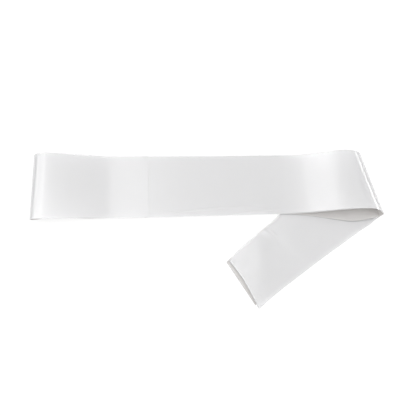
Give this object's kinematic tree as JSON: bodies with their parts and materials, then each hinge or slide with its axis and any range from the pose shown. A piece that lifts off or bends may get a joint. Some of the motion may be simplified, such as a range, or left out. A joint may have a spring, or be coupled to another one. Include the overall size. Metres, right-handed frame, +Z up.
{
  "type": "satin sash",
  "caption": "Plain satin sash, a ribbon-wide ring worn across the shoulder, laid flat and doubled with one end folded under on a slant.",
  "frame": {"origin": "middle of the outline's box, on the surface that the sash lies on", "axes": "+X along the front band towards the slanted fold, +Y away from the tail, +Z up"},
  "size_m": [0.5392, 0.2424, 0.0287],
  "materials": {
    "satin": "satin"
  },
  "bodies": {
    "root": {"front_left": "satin", "front_right": "satin", "back_stretch": "satin", "tail_top": "satin", "tail_under": "satin"}
  },
  "joints": []
}
